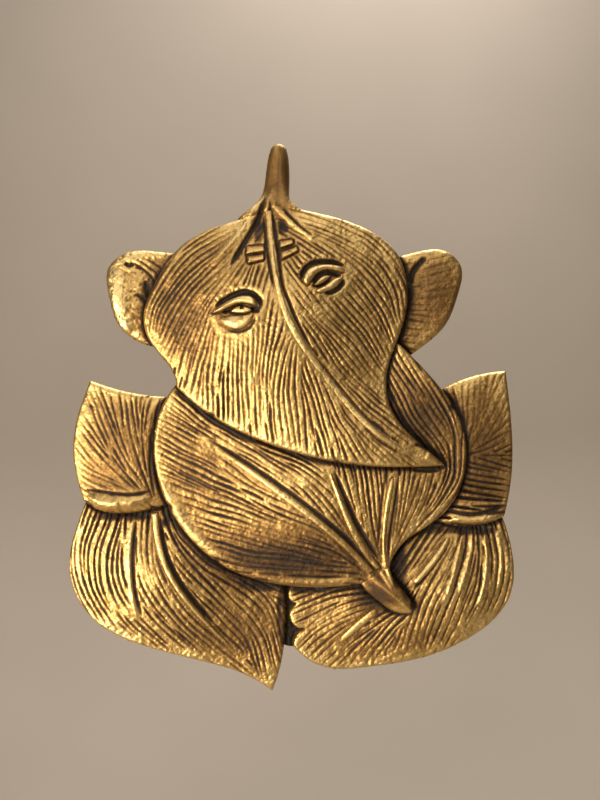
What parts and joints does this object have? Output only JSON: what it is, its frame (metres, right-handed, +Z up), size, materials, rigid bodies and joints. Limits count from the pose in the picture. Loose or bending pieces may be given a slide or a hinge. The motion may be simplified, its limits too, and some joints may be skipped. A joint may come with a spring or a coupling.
{
  "type": "ganesha wall plaque",
  "caption": "Wall plaque of Ganesha in leaf relief: overlapping cast leaves form head, ears, belly, arms and legs, with a swinging hanging ring behind the head.",
  "frame": {"origin": "where the nail's axis, through the middle of the hanging ring, meets the wall", "axes": "+Y into the wall, so the face looks to -Y; +Z up, from the leg leaves to the head stalk; +X to the viewer's right"},
  "size_m": [0.1622, 0.0204, 0.1992],
  "materials": {
    "antique_brass": "antique gold on the high ground, brown-black patina in the veins and seams",
    "bare_brass": "as cast",
    "brass_wire": "drawn wire, dull"
  },
  "bodies": {
    "plaque": {"head_leaf": "antique_brass", "head_stalk": "antique_brass", "head_midrib": "antique_brass", "forehead_mark": "antique_brass", "left_upper_eyelid": "antique_brass", "left_eyeball": "antique_brass", "left_lower_eyelid": "antique_brass", "right_upper_eyelid": "antique_brass", "right_eyeball": "antique_brass", "right_lower_eyelid": "antique_brass", "left_ear_leaf": "antique_brass", "right_ear_leaf": "antique_brass", "belly_leaf": "antique_brass", "belly_stalk": "antique_brass", "belly_ribs": "antique_brass", "left_arm_leaf": "antique_brass", "right_arm_leaf": "antique_brass", "left_leg_leaf": "antique_brass", "right_leg_leaf": "antique_brass", "leg_web": "antique_brass", "left_leg_midrib": "antique_brass", "right_leg_ribs": "antique_brass", "hanger_lug": "bare_brass"},
    "ring": {"hanging_ring": "brass_wire"}
  },
  "joints": [
    {"name": "ring_swing", "type": "hinge", "parent": "plaque", "child": "ring", "pos_m": [0, -0.004, 0.0075], "axis": [1, 0, 0], "range_deg": [-30, 200]}
  ]
}
